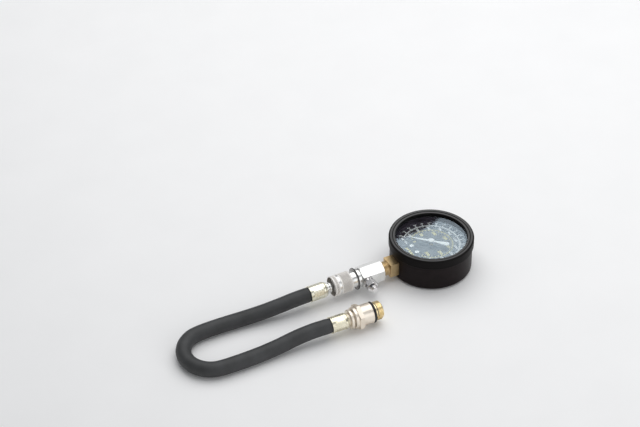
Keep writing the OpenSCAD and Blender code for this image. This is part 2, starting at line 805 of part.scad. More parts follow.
module relief_valve_body() {
  r = relief_af / sqrt(3);
  color([0.8, 0.8, 0.82]) on_relief() difference() {
    union() {
      translate([0, 0, relief_in]) cylinder(h = 5, r = 3);
      turned([[0, relief_0], [relief_collar_d / 2 - 0.8, relief_0], [relief_collar_d / 2, relief_0 + 0.8],
        [relief_collar_d / 2, relief_1], [0, relief_1]]);
      intersection() {
        hexagon(relief_1 - eps, relief_2, relief_af, 0);
        turned([[0, relief_1 - 1], [r + 0.2, relief_1 - 1], [r + 0.2, relief_2 - 0.7],
          [r - 0.8, relief_2], [0, relief_2]]);
      }
    }
    translate([0, 0, relief_in - 1]) cylinder(h = 7.5, r = 2.2);
    cylinder(h = 40, r = 1.5 + fit_run);
    translate([0, 0, relief_1 + 1]) cylinder(h = 40, r = 2.75);
    translate([0, 0, relief_0 + 1.6]) rotate([0, 90, 0]) cylinder(h = 20, r = 0.7, center = true);
  }
}

module relief_button() {
  b = relief_button_d / 2;
  e = relief_step_d / 2;
  color([0.85, 0.85, 0.86]) on_relief() turned([
    [0, relief_in - 2.2],
    [1.9, relief_in - 2.2],
    [1.9, relief_in - 1.5],
    [1.5, relief_in - 1.5],
    [1.5, relief_head],
    [b, relief_head],
    [b, relief_head + relief_button_l / 2 - 0.3],
    [b - 0.3, relief_head + relief_button_l / 2],
    [e, relief_head + relief_button_l / 2],
    [e, relief_head + relief_button_l - 0.4],
    [e - 0.4, relief_head + relief_button_l],
    [0, relief_head + relief_button_l]]);
}

module relief_seal() {
  color([0.1, 0.1, 0.1]) on_relief() pipe(relief_in - 1.5, relief_in - fit_run, 2.6, 1.5 + 0.01);
}

module relief_spring() {
  color([0.6, 0.6, 0.62]) on_relief()
    wire(helix(2.15, relief_1 + 1.4, relief_head - 0.4, 6, 12), 0.35, 6);
}

// quick coupler

module coupler_body() {
  color([0.8, 0.8, 0.78]) on_stem() difference() {
    turned([
      [nipple_r + fit_run, tee_end],
      [flange_d / 2 - 0.4, tee_end],
      [flange_d / 2, tee_end + 0.4],
      [flange_d / 2, flange_end],
      [coupler_r, flange_end],
      [coupler_r, step_s],
      [nose_r, step_s],
      [nose_r, nose_end - 0.5],
      [nose_r - 0.5, nose_end],
      [plug_r + fit_run, nose_end],
      [plug_r + fit_run, plug_seat],
      [bore_r, plug_seat],
      [bore_r, nipple_end + 0.3],
      [nipple_r + fit_run, nipple_end + 0.3]]);
    rotate_extrude() translate([plug_r + fit_run + seal_r, seal_s]) circle(r = seal_r + 0.02);
    ball_places() rotate([0, 90, 0]) cylinder(h = nose_r, r = ball_r + fit_run);
  }
}

module ball_places() {
  for (k = [0 : 5]) translate([0, 0, ball_s]) rotate(60 * k) children();
}

module coupler_seal() {
  color([0.1, 0.1, 0.1]) on_stem() rotate_extrude()
    translate([plug_r + fit_run + seal_r, seal_s]) circle(r = seal_r);
}

module retaining_disc() {
  color([0.2, 0.2, 0.21]) on_stem() pipe(flange_end, disc_end, disc_d / 2, coupler_r);
}

module coupler_spring() {
  r = (nose_r + coupler_r) / 2;
  w = (coupler_r - nose_r) / 2 - 0.12;
  color([0.6, 0.6, 0.62]) on_stem() wire(helix(r, step_s + w + 0.05, shoulder_s - w - 0.05, 2, 30), w, 6);
}

module locking_balls() {
  color([0.7, 0.7, 0.72]) on_stem() ball_places() translate([ball_at, 0, 0]) sphere(r = ball_r);
}

module coupler_sleeve() {
  r = sleeve_d / 2;
  color([0.74, 0.73, 0.7]) on_stem() turned([
    [coupler_r + fit_run, sleeve_start],
    [r - 0.6, sleeve_start],
    [r, sleeve_start + 0.6],
    [r, sleeve_end - 7.4],
    [r - 0.8, sleeve_end - 7.2],
    [r - 0.8, sleeve_end - 5.6],
    [r, sleeve_end - 5.4],
    [r, sleeve_end - 0.6],
    [r - 0.5, sleeve_end],
    [r - 1, sleeve_end],
    [r - 1, mouth_s],
    [nose_r + fit_run, mouth_s],
    [nose_r + fit_run, shoulder_s],
    [coupler_r + fit_run, shoulder_s]]);
}

// hose and its end pieces

module hose_plug() {
  n = sleeve_end + 0.8;
  color([0.84, 0.83, 0.8]) on_stem() difference() {
    turned([
      [2.2, plug_tip],
      [plug_r - 1, plug_tip],
      [plug_r, plug_tip + 1],
      [plug_r, n - 3.2],
      [plug_r - 0.8, n - 2.2],
      [plug_r - 0.8, n],
      [plug_r, n + 0.5],
      [plug_r, n + 2.4],
      [plug_r - 0.8, n + 2.9],
      [plug_r - 0.8, ferrule_s - 1.4],
      [plug_r + 1, ferrule_s - 1],
      [plug_r + 1, ferrule_s],
      [tail_r, ferrule_s],
      [tail_r, ferrule_s + 3],
      [tail_r - 0.4, ferrule_s + 3.2],
      [tail_r, ferrule_s + 7],
      [tail_r - 0.4, ferrule_s + 7.2],
      [tail_r, ferrule_s + 11],
      [tail_r - 0.7, ferrule_s + 13.5],
      [2.2, ferrule_s + 13.5]]);
    rotate_extrude() translate([ball_at, ball_s]) circle(r = ball_r + fit_run);
  }
}

module ferrule_shape() {
  l = ferrule_len;
  f = ferrule_front;
  r = ferrule_r;
  difference() {
    turned([
      [tail_r + 0.02, l],
      [r - 1.2, l],
      [r - 0.7, l - 0.6],
      [r - 0.7, l - 1.2],
      [r, l - 2.2],
      [r, 1.4],
      [r + 0.25, 1],
      [r + 0.25, 0],
      [ferrule_ir, 0],
      [ferrule_ir, l - f],
      [tail_r + 0.02, l - f]]);
    // crimped flats
    for (k = [0 : 7]) rotate(45 * k + 22.5)
      translate([r - 0.38, -6, 3.2]) cube([3, 12, l - 7.4]);
  }
}

module near_ferrule() {
  color([0.82, 0.76, 0.55]) on_stem() translate([0, 0, ferrule_end]) mirror([0, 0, 1]) ferrule_shape();
}

// the far ferrule has a small hole that shows how far the hose is pushed in
module far_ferrule() {
  color([0.82, 0.76, 0.55]) on_far() difference() {
    ferrule_shape();
    rotate(-peep_turn) translate([0, 0, ferrule_len - peep_back]) rotate([0, 90, 0])
      cylinder(h = 2 * ferrule_r, r = peep_r);
  }
}

module hose() {
  p = smooth(hose_route, hose_steps);
  m = len(p);
  // squeezed where a ferrule holds it, full size a little way outside
  ro = [for (i = [0 : m - 1]) i <= hose_steps || i >= m - 1 - hose_steps ? crimp_r : hose_r];
  color([0.16, 0.17, 0.17]) tube_along(p, ro, hose_in, hose_sides);
}

module hose_end_fitting() {
  color([0.84, 0.78, 0.66]) on_far() difference() {
    turned([
      [2, 4],
      [tail_r - 0.7, 4],
      [tail_r, 6.5],
      [tail_r - 0.4, 10.3],
      [tail_r, 10.5],
      [tail_r - 0.4, 14.3],
      [tail_r, 14.5],
      [tail_r, neck_t],
      [ferrule_r - 1.6, neck_t],
      [ferrule_r - 1.6, collar_t],
      [collar_d / 2 - 0.5, collar_t],
      [collar_d / 2, collar_t + 0.5],
      [collar_d / 2, collar_end - 0.5],
      [collar_d / 2 - 0.5, collar_end],
      [tail_thread_r - 0.5, collar_end],
      [tail_thread_r - 0.5, shoulder_t],
      [tail_thread_r, shoulder_t + 0.5],
      [tail_thread_r, thread_end - 0.8],
      [tail_thread_r - 0.8, thread_end],
      [2, thread_end]]);
    translate([0, 0, thread_end - core_len - 0.5]) cylinder(h = 40, r = core_r + 0.02);
  }
}

module thread_adapter() {
  r = adapter_af / sqrt(3);
  s = shoulder_d / 2;
  color([0.84, 0.77, 0.65]) on_far() difference() {
    union() {
      turned([[0, shoulder_t], [s - 0.6, shoulder_t], [s, shoulder_t + 0.6],
        [s, hex_t + eps], [0, hex_t + eps]]);
      intersection() {
        hexagon(hex_t, hex_end, adapter_af, 30);
        turned([[0, hex_t], [r - 1.2, hex_t], [r + 0.2, hex_t + 0.8],
          [r + 0.2, hex_end - 0.8], [r - 1.2, hex_end], [0, hex_end]]);
      }
      turned([
        [0, hex_end - eps],
        [barrel_d / 2, hex_end - eps],
        [barrel_d / 2, barrel_end - 0.4],
        [barrel_d / 2 - 0.4, barrel_end],
        [tip_d / 2 - 1.25, barrel_end],
        [tip_d / 2 - 1.25, groove_end],
        [tip_d / 2 - 0.4, groove_end],
        [tip_d / 2, groove_end + 0.4],
        [tip_d / 2, tip_end - 1],
        [tip_d / 2 - 1, tip_end],
        [0, tip_end]]);
    }
    translate([0, 0, shoulder_t - 1])
      cylinder(h = thread_end - shoulder_t + 1.4, r = tail_thread_r + fit_run);
    translate([0, 0, shoulder_t]) cylinder(h = 60, r = 4.5);
  }
}

module adapter_o_ring() {
  color([0.09, 0.09, 0.09]) on_far() rotate_extrude()
    translate([tip_d / 2 - 1.25 + o_ring_d / 2, barrel_end + o_ring_d / 2]) circle(r = o_ring_d / 2 - 0.02);
}

// check valve in the hose end

core_s = thread_end - core_len;
seat_s = core_s + 3;

module valve_core() {
  color([0.78, 0.64, 0.34]) on_far() difference() {
    translate([0, 0, core_s]) cylinder(h = core_len, r = core_r);
    translate([0, 0, core_s - 1]) cylinder(h = core_len + 2, r = 0.55 + fit_run);
    translate([0, 0, core_s - 1]) cylinder(h = 3.6, r = 1.7);
    translate([0, 0, seat_s + 1]) cylinder(h = core_len, r = 1.5);
  }
}

// the head seats on the inside of the core and the tip is pushed from the thread side
module valve_pin() {
  color([0.8, 0.68, 0.38]) on_far() turned([
    [0, core_s - 0.6],
    [1.3, core_s - 0.6],
    [1.3, seat_s - 0.4 - air],
    [0.55, seat_s - 0.4 - air],
    [0.55, thread_end - 0.7],
    [1.1, thread_end - 0.7],
    [1.1, thread_end - 0.1],
    [0, thread_end - 0.1]]);
}

module valve_spring() {
  color([0.65, 0.65, 0.66]) on_far()
    wire(helix(0.98, seat_s + 1.3, thread_end - 1, 5, 10), 0.2, 6);
}

gauge_case();
bezel_ring();
window();
window_gasket();
case_screws();
dial_plate();
dial_screws();
dial_spacers();
stop_pin();
pointer();
pointer_hub();
stem_socket();
bourdon_tube();
tube_tip();
link();
link_pin();
movement_bottom_plate();
movement_top_plate();
movement_pillars();
sector_gear();
sector_arbor();
pinion();
hairspring();
hairspring_collet();
tee_body();
relief_valve_body();
relief_button();
relief_spring();
relief_seal();
coupler_body();
coupler_seal();
retaining_disc();
coupler_spring();
locking_balls();
coupler_sleeve();
hose_plug();
near_ferrule();
hose();
far_ferrule();
hose_end_fitting();
thread_adapter();
adapter_o_ring();
valve_core();
valve_pin();
valve_spring();
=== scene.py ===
# %% [markdown]
# # A compression tester gauge, dressed in Blender
# The real object is a dial gauge that mechanics plug into an engine to read cylinder pressure.
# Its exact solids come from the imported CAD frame. This script adds what a solid model leaves out:
# the printed dial, the knurled sleeve, cut threads, the lay of the rubber hose, finishes and light.

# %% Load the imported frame
import json
import math

import bpy
from mathutils import Matrix, Vector

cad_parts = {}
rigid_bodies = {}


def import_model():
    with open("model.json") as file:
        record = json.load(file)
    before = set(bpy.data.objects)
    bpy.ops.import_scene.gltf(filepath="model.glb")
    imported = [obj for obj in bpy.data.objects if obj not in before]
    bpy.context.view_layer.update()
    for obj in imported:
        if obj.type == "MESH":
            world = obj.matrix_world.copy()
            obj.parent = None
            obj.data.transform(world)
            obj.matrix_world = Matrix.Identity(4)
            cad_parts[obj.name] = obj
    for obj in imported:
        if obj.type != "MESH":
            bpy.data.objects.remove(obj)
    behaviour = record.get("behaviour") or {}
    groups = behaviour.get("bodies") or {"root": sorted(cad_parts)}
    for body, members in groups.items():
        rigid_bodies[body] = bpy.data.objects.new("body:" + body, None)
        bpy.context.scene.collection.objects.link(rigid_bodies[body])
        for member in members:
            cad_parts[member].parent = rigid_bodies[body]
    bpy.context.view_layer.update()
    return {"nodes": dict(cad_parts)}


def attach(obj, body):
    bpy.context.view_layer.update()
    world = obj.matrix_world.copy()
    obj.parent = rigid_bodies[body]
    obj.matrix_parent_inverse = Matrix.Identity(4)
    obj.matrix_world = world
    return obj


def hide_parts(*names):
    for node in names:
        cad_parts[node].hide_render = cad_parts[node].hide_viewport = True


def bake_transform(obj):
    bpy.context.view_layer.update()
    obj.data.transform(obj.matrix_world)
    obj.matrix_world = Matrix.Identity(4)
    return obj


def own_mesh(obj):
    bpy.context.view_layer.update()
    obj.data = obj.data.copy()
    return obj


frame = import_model()
nodes = frame["nodes"]
MM = 0.001
scene = bpy.context.scene
scene.view_settings.view_transform = "Standard"

# %% [markdown]
# ## Camera
# A camera could be aimed by eye, but a picture can only be compared if the view is the same.
# The position and the three directions below were fitted to the picture, so they are set as numbers.
# The long lens keeps the round bezel from looking stretched.

# %% Camera
CAMERA_AT = Vector((1.07838, -0.66217, 1.05038))
CAMERA_RIGHT = Vector((0.45719, 0.88930, -0.01128))
CAMERA_UP = Vector((-0.54390, 0.28961, 0.78759))
CAMERA_BACK = Vector((0.70367, -0.35394, 0.61609))
LENS = 94.51
aim = Matrix((CAMERA_RIGHT, CAMERA_UP, CAMERA_BACK)).transposed()
bpy.ops.object.camera_add(location=CAMERA_AT, rotation=aim.to_euler())
camera = bpy.context.object
camera.data.lens = LENS
camera.data.sensor_width = 36.0
scene.camera = camera
print("camera:", [round(v, 3) for v in camera.location], "lens", LENS)

# %% [markdown]
# ## Helpers for the hose
# The hose is a soft tube that lies in one loose bend. A tube could be an extruded circle,
# but a curve with a round bevel stays editable and keeps its length exactly.
# The centre line is the same rounded route that the solid model uses, in millimetres.

# %% Hose route
STEM_Z = 14.0
HOSE_R = 7.25
CRIMPED_R = 6.85
FLOOR_Z = HOSE_R + 0.05
ADAPTER_AF = 22.0
FAR_RIM = Vector((47.1, -134.5, ADAPTER_AF / math.sqrt(3) + 0.1))
FAR_TURN = math.radians(2.0)
FAR_DIR = Vector((math.sin(FAR_TURN), math.cos(FAR_TURN), 0.0))
IN_FERRULE = 16.0
NEAR_RIM_Y = -132.8
NEAR_END = [(0, NEAR_RIM_Y + IN_FERRULE, STEM_Z), (0, NEAR_RIM_Y, STEM_Z)]
HOSE_LAY = [
    (-0.1, -148, 13.6), (-1, -164, 11.6), (-3, -182, 9), (-4.9, -200, 7.6), (-6, -216, FLOOR_Z),
    (-6.3, -231, FLOOR_Z), (-5.9, -242.5, FLOOR_Z), (-4.3, -251.5, FLOOR_Z), (0.2, -259.2, FLOOR_Z),
    (7.2, -265, FLOOR_Z), (15.8, -268, FLOOR_Z), (24.8, -268, FLOOR_Z), (33.4, -265, FLOOR_Z),
    (40.4, -259.2, FLOOR_Z), (44.9, -251.5, FLOOR_Z), (46.6, -242.5, FLOOR_Z), (47.1, -231, FLOOR_Z),
    (47.1, -217, FLOOR_Z), (46.7, -202, 7.5), (46.1, -186, 8.6), (45.8, -169, 11), (46.2, -152, 12.6)]
FAR_END = [tuple(FAR_RIM), tuple(FAR_RIM + FAR_DIR * IN_FERRULE)]
STEPS = 6


def rounded(points, steps):
    """Points on one smooth curve through all the given points."""
    p = [Vector(q) for q in points]
    last = len(p) - 1
    out = []
    for i in range(last):
        a, b, c, d = p[max(i - 1, 0)], p[i], p[i + 1], p[min(i + 2, last)]
        for k in range(steps):
            t = k / steps
            out.append((2 * b + (c - a) * t + (2 * a - 5 * b + 4 * c - d) * t ** 2
                        + (3 * b - a - 3 * c + d) * t ** 3) / 2)
    return out + [p[last]]


hose_line = [q * MM for q in rounded(NEAR_END + HOSE_LAY + FAR_END, STEPS)]

# %% [markdown]
# ## Hose
# The ends of the real hose are squeezed inside two metal ferrules, so the curve is thinner there.
# Each point of a curve has its own radius, which does this without a second object.

# %% Hose
curve = bpy.data.curves.new("test_hose", "CURVE")
curve.dimensions = "3D"
curve.bevel_depth = HOSE_R * MM
curve.bevel_resolution = 7
curve.use_fill_caps = True
spline = curve.splines.new("POLY")
spline.points.add(len(hose_line) - 1)
for i, (point, where) in enumerate(zip(spline.points, hose_line)):
    squeezed = i <= STEPS or i >= len(hose_line) - 1 - STEPS
    point.co = (*where, 1.0)
    point.radius = CRIMPED_R / HOSE_R if squeezed else 1.0
spline.use_smooth = True
hose = bpy.data.objects.new("test_hose", curve)
scene.collection.objects.link(hose)
print("hose object:", hose.name, "diameter", 2 * HOSE_R, "mm")

# %% [markdown]
# ## Floor and light
# A studio shot of a small tool uses one large soft box overhead. Chrome shows that box as a white patch,
# and the flat window mirrors it as a pale veil. A round dark flag hangs in front of one side of the box,
# so that the window stays dark there. A lamp of area type is such a box: its size softens the shadow.

# %% Floor and light
FLOOR_SIZE = 8.0
FLOOR_AT = (0, -0.1, -0.0003)
SOFTBOX_AT = (-0.576, 0.434, 1.2)
SOFTBOX_TURN = math.radians(11.24)
SOFTBOX_SIZE = (1.95, 1.9)
SOFTBOX_GLOW = 1.55
FLAG_AT = (-1.4521, 0.7135, 1.19)
FLAG_R = 0.198
CARD_AT = (1.25, 0.35, 0.55)
CARD_SIZE = (1.4, 1.0)
CARD_GLOW = 1.0
ROOM_COLOUR = (0.95, 0.97, 1.0, 1)
ROOM_GLOW = 0.32


def area_lamp(name, at, rotation, size, glow):
    """A lamp of the given size in metres, whose face looks as bright as glow times white."""
    bpy.ops.object.light_add(type="AREA", location=at, rotation=rotation)
    lamp = bpy.context.object
    lamp.name = name
    lamp.data.shape = "RECTANGLE"
    lamp.data.size, lamp.data.size_y = size
    lamp.data.energy = glow * math.pi * size[0] * size[1]
    lamp.visible_camera = False


bpy.ops.object.select_all(action="DESELECT")
bpy.ops.mesh.primitive_plane_add(size=FLOOR_SIZE, location=FLOOR_AT)
floor = bpy.context.object
floor.name = "studio_floor"
bpy.ops.mesh.primitive_circle_add(vertices=64, radius=FLAG_R, fill_type="NGON", location=FLAG_AT)
flag = bpy.context.object
flag.name = "black_flag"
flag.visible_camera = False
area_lamp("softbox", SOFTBOX_AT, (0, 0, SOFTBOX_TURN), SOFTBOX_SIZE, SOFTBOX_GLOW)
card_aim = Vector(CARD_AT).to_track_quat("Z", "Y").to_euler()
area_lamp("reflector_card", CARD_AT, card_aim, CARD_SIZE, CARD_GLOW)
world = bpy.data.worlds.new("studio")
scene.world = world
world.use_nodes = True
room = world.node_tree.nodes["Background"]
room.inputs["Color"].default_value = ROOM_COLOUR
room.inputs["Strength"].default_value = ROOM_GLOW
print("lights: softbox with a dark flag, reflector card and a grey room")

# %% [markdown]
# ## Building blocks for finishes
# A finish that is one flat colour looks like plastic clay. Real paint, plating and rubber vary a little
# in colour, gloss and height. A painted texture could hold that, but it would need unwrapped pieces.
# The small helpers below take it from noise instead, whose grain is stated in millimetres along each
# axis, so that tool marks can run round a turned piece.

# %% Node helpers
NOISE_LOW = 0.3
NOISE_HIGH = 0.7


def new_finish(name):
    """An empty finish: the material, its nodes and its main shader."""
    material = bpy.data.materials.new(name)
    material.use_nodes = True
    return material, material.node_tree, material.node_tree.nodes["Principled BSDF"]


def grain_noise(tree, size_mm, turn=0.0, detail=3.0):
    """Noise with grains of that size along x, y and z, in a frame turned about the vertical."""
    where = tree.nodes.new("ShaderNodeTexCoord")
    place = tree.nodes.new("ShaderNodeMapping")
    place.vector_type = "TEXTURE"
    place.inputs["Rotation"].default_value = (0, 0, turn)
    place.inputs["Scale"].default_value = [s * MM for s in size_mm]
    noise = tree.nodes.new("ShaderNodeTexNoise")
    noise.inputs["Scale"].default_value = 1.0
    noise.inputs["Detail"].default_value = detail
    tree.links.new(where.outputs["Object"], place.inputs["Vector"])
    tree.links.new(place.outputs["Vector"], noise.inputs["Vector"])
    return noise.outputs["Fac"]


def colour_between(tree, fac, low, high, socket):
    """Gives a socket a colour that goes from low to high as the noise rises."""
    ramp = tree.nodes.new("ShaderNodeValToRGB")
    ramp.color_ramp.elements[0].position = NOISE_LOW
    ramp.color_ramp.elements[1].position = NOISE_HIGH
    ramp.color_ramp.elements[0].color = (*low, 1)
    ramp.color_ramp.elements[1].color = (*high, 1)
    tree.links.new(fac, ramp.inputs["Fac"])
    tree.links.new(ramp.outputs["Color"], socket)


def value_between(tree, fac, low, high, socket):
    """Gives a socket a value that goes from low to high as the noise rises."""
    spread = tree.nodes.new("ShaderNodeMapRange")
    spread.inputs["From Min"].default_value = NOISE_LOW
    spread.inputs["From Max"].default_value = NOISE_HIGH
    spread.inputs["To Min"].default_value = low
    spread.inputs["To Max"].default_value = high
    tree.links.new(fac, spread.inputs["Value"])
    tree.links.new(spread.outputs["Result"], socket)


def height_from(tree, fac, strength, depth_mm, socket):
    """Gives a normal socket small bumps that follow the noise."""
    bump = tree.nodes.new("ShaderNodeBump")
    bump.inputs["Strength"].default_value = strength
    bump.inputs["Distance"].default_value = depth_mm * MM
    tree.links.new(fac, bump.inputs["Height"])
    tree.links.new(bump.outputs["Normal"], socket)


print("node helpers ready")

# %% [markdown]
# ## Paint, rubber and metal
# Three kinds of finish cover the whole tool. Paint has a fine orange peel, rubber is matt with a dusty
# bloom, and metal gets tool lines. Every finish could be wired by hand, but most of its nodes are the same,
# so paint and rubber share one function, metal has another, and each finish of the tool is one call.

# %% Finish functions
COAT_SPREAD = 0.06
COAT_DEPTH = 0.05
METAL_STAIN = (9, 9, 9)
METAL_DEPTH = 0.02


def coat_finish(name, low, high, gloss, grain, peel, stain=7.0, shine=0.5):
    """Paint or rubber: soft stains in the colour, and a fine grain in gloss and height."""
    material, tree, shader = new_finish(name)
    shader.inputs["Specular IOR Level"].default_value = shine
    fine = grain_noise(tree, (grain, grain, grain))
    broad = grain_noise(tree, (stain, stain, stain))
    colour_between(tree, broad, low, high, shader.inputs["Base Color"])
    value_between(tree, fine, gloss - COAT_SPREAD, gloss + COAT_SPREAD, shader.inputs["Roughness"])
    height_from(tree, fine, peel, COAT_DEPTH, shader.inputs["Normal"])
    return material


def metal_finish(name, low, high, gloss, lines, turn=0.0, spread=0.04, depth=0.05):
    """Plated or bare metal: broad stains in the colour, tool lines in gloss and height."""
    material, tree, shader = new_finish(name)
    tool = grain_noise(tree, lines, turn, 2.0)
    broad = grain_noise(tree, METAL_STAIN)
    colour_between(tree, broad, low, high, shader.inputs["Base Color"])
    value_between(tree, tool, gloss - spread, gloss + spread, shader.inputs["Roughness"])
    height_from(tree, tool, depth, METAL_DEPTH, shader.inputs["Normal"])
    shader.inputs["Metallic"].default_value = 1.0
    return material


ALONG_Y = (12.0, 0.35, 12.0)
ALONG_X = (0.35, 12.0, 12.0)
ALONG_Z = (12.0, 12.0, 0.35)
EVEN_COARSE = (0.7, 0.7, 0.7)
EVEN_FINE = (0.4, 0.4, 0.4)
pale_floor = coat_finish("pale_floor", (0.95, 0.95, 0.95), (0.97, 0.97, 0.97),
                         gloss=0.75, grain=3.0, peel=0.02, stain=60.0, shine=0.2)
flag_cloth = coat_finish("flag_cloth", (0.12, 0.085, 0.10), (0.50, 0.38, 0.43),
                         gloss=0.9, grain=2.0, peel=0.02, stain=80.0, shine=0.1)
case_paint = coat_finish("case_paint", (0.010, 0.0065, 0.007), (0.014, 0.0095, 0.010),
                         gloss=0.40, grain=0.5, peel=0.08, shine=0.10)
dial_paint = coat_finish("dial_paint", (0.008, 0.007, 0.008), (0.013, 0.012, 0.013),
                         gloss=0.16, grain=0.25, peel=0.004, shine=0.4)
white_paint = coat_finish("white_paint", (0.88, 0.88, 0.87), (0.95, 0.95, 0.94),
                          gloss=0.45, grain=0.3, peel=0.04)
yellow_print = coat_finish("yellow_print", (0.74, 0.62, 0.16), (0.86, 0.74, 0.24),
                           gloss=0.5, grain=0.3, peel=0.04)
hose_rubber = coat_finish("hose_rubber", (0.030, 0.031, 0.032), (0.048, 0.050, 0.052),
                          gloss=0.58, grain=0.35, peel=0.14, stain=16.0)
seal_rubber = coat_finish("seal_rubber", (0.014, 0.014, 0.015), (0.022, 0.022, 0.023),
                          gloss=0.5, grain=0.3, peel=0.08)
bright_nickel = metal_finish("bright_nickel", (0.78, 0.78, 0.76), (0.86, 0.86, 0.85), 0.28, ALONG_Y)
valve_chrome = metal_finish("valve_chrome", (0.70, 0.68, 0.68), (0.80, 0.79, 0.79), 0.18, ALONG_X)
yellow_zinc = metal_finish("yellow_zinc", (0.80, 0.77, 0.62), (0.90, 0.88, 0.76), 0.27, ALONG_Y)
far_zinc = metal_finish("far_zinc", (0.78, 0.73, 0.56), (0.90, 0.86, 0.70), 0.27, ALONG_Y, -FAR_TURN)
warm_nickel = metal_finish("warm_nickel", (0.82, 0.73, 0.62), (0.91, 0.84, 0.74), 0.38, ALONG_Y, -FAR_TURN)
gold_tip = metal_finish("gold_tip", (0.84, 0.68, 0.40), (0.92, 0.79, 0.52), 0.32, ALONG_Y, -FAR_TURN)
stem_brass = metal_finish("stem_brass", (0.54, 0.39, 0.20), (0.70, 0.53, 0.30), 0.34, ALONG_Y)
plate_brass = metal_finish("plate_brass", (0.62, 0.46, 0.20), (0.76, 0.58, 0.28), 0.30, ALONG_Z)
turned_steel = metal_finish("turned_steel", (0.55, 0.55, 0.55), (0.68, 0.68, 0.67), 0.26, ALONG_Z)
dial_steel = metal_finish("dial_steel", (0.46, 0.45, 0.44), (0.74, 0.73, 0.72), 0.42, EVEN_COARSE,
                          spread=0.1, depth=0.5)
spring_wire = metal_finish("spring_wire", (0.36, 0.37, 0.40), (0.50, 0.51, 0.53), 0.30, EVEN_FINE)
floor.data.materials.append(pale_floor)
flag.data.materials.append(flag_cloth)
print("finishes:", len(bpy.data.materials))

# %% [markdown]
# ## Finishes that follow a radius
# The bottom of the knurl is painted darker than its peaks, as painted shade in the valleys. The two rolled
# rims of the bezel get a painted grey sheen and more gloss, while the groove between them and the edges
# keep their black. The outer edge of the retaining disc and the slots of the two dial screws are painted
# dark, as painted shade. Separate faces could be painted by hand, but the borders would be hard. Here the
# colour follows the distance from the axis of the turned piece, or from the back of the gauge for the two
# dial screws. It is worked out from the place on the piece itself, so the finish stays with the piece
# when it moves.

# %% Finishes by radius


def by_radius(tree, socket, keep, centre, stops):
    """Colours a socket by the distance from an axis or plane: stops are (distance in mm, colour)."""
    where = tree.nodes.new("ShaderNodeTexCoord")
    flat = tree.nodes.new("ShaderNodeVectorMath")
    flat.operation = "MULTIPLY_ADD"
    flat.inputs[1].default_value = keep
    flat.inputs[2].default_value = [-c * MM for c in centre]
    reach = tree.nodes.new("ShaderNodeVectorMath")
    reach.operation = "LENGTH"
    spread = tree.nodes.new("ShaderNodeMapRange")
    spread.inputs["From Min"].default_value = stops[0][0] * MM
    spread.inputs["From Max"].default_value = stops[-1][0] * MM
    ramp = tree.nodes.new("ShaderNodeValToRGB")
    while len(ramp.color_ramp.elements) < len(stops):
        ramp.color_ramp.elements.new(0.5)
    for element, (radius, colour) in zip(ramp.color_ramp.elements, stops):
        element.position = (radius - stops[0][0]) / (stops[-1][0] - stops[0][0])
        element.color = (*colour, 1)
    tree.links.new(where.outputs["Object"], flat.inputs[0])
    tree.links.new(flat.outputs["Vector"], reach.inputs[0])
    tree.links.new(reach.outputs["Value"], spread.inputs["Value"])
    tree.links.new(spread.outputs["Result"], ramp.inputs["Fac"])
    tree.links.new(ramp.outputs["Color"], socket)


ABOUT_DIAL = ((1, 1, 0), (0, 0, 0))
ABOUT_STEM = ((1, 0, 1), (0, 0, STEM_Z))
ABOVE_BACK = ((0, 0, 1), (0, 0, 0))
BLACK = (0.008, 0.007, 0.007)
RIM_SHEEN_GREY = (0.050, 0.050, 0.050)
DULL = (0.06, 0.06, 0.06)
SHINY = (0.5, 0.5, 0.5)
BEZEL_INNER = 34.6
BEZEL_OUTER = 41.3
RIM_BANDS = ((35.2, 36.9), (37.9, 39.7))
FADE_IN = 0.15
FADE_OUT = 0.25
BRUSH_LINES = (3.0, 0.25, 3.0)
BRUSH_TURN = 0.5
# Sleeve colour by radius: the knurl valleys are painted darker than the peaks, as painted shade.
KNURL_SHADE_STOPS = [(9.5, (0.46, 0.43, 0.40)), (9.68, (0.86, 0.83, 0.79)), (9.9, (0.94, 0.92, 0.89))]
DISC_R = 10.8
# The disc's face is painted darker towards its rim and its outer edge near black: painted shade in the gap
# to the flange.
DISC_STOPS = [(DISC_R - 1.2, (0.30, 0.29, 0.28)), (DISC_R - 0.3, (0.22, 0.21, 0.20)),
              (DISC_R - 0.1, (0.03, 0.03, 0.03))]
# Screw colour by height: near black below 25.72 mm, painted shade in the slots and round the foot of each
# head, then lighter towards the top of the head.
SCREW_STOPS = [(25.2, (0.02, 0.02, 0.02)), (25.72, (0.03, 0.03, 0.03)), (25.85, (0.85, 0.85, 0.84)),
               (26.2, (0.95, 0.95, 0.94))]
bezel_paint, tree, shader = new_finish("bezel_paint")
brushed = grain_noise(tree, BRUSH_LINES, BRUSH_TURN)
value_between(tree, brushed, 0.34, 0.52, shader.inputs["Roughness"])
height_from(tree, brushed, 0.25, 0.05, shader.inputs["Normal"])
# The rims' grey base colour is a painted sheen. Their higher specular level is the paint's own gloss.
for socket, edge, face in (("Base Color", BLACK, RIM_SHEEN_GREY), ("Specular IOR Level", DULL, SHINY)):
    stops = [(BEZEL_INNER, edge)]
    for inner, outer in RIM_BANDS:
        stops += [(inner - FADE_IN, edge), (inner, face), (outer, face), (outer + FADE_OUT, edge)]
    by_radius(tree, shader.inputs[socket], *ABOUT_DIAL, stops + [(BEZEL_OUTER, edge)])
satin_nickel, tree, shader = new_finish("satin_nickel")
shader.inputs["Metallic"].default_value = 0.35
value_between(tree, grain_noise(tree, (2, 2, 2)), 0.34, 0.46, shader.inputs["Roughness"])
by_radius(tree, shader.inputs["Base Color"], *ABOUT_STEM, KNURL_SHADE_STOPS)
disc_steel, tree, shader = new_finish("disc_steel")
shader.inputs["Metallic"].default_value = 1.0
value_between(tree, grain_noise(tree, (2, 2, 2)), 0.22, 0.34, shader.inputs["Roughness"])
by_radius(tree, shader.inputs["Base Color"], *ABOUT_STEM, DISC_STOPS)
screw_steel, tree, shader = new_finish("screw_steel")
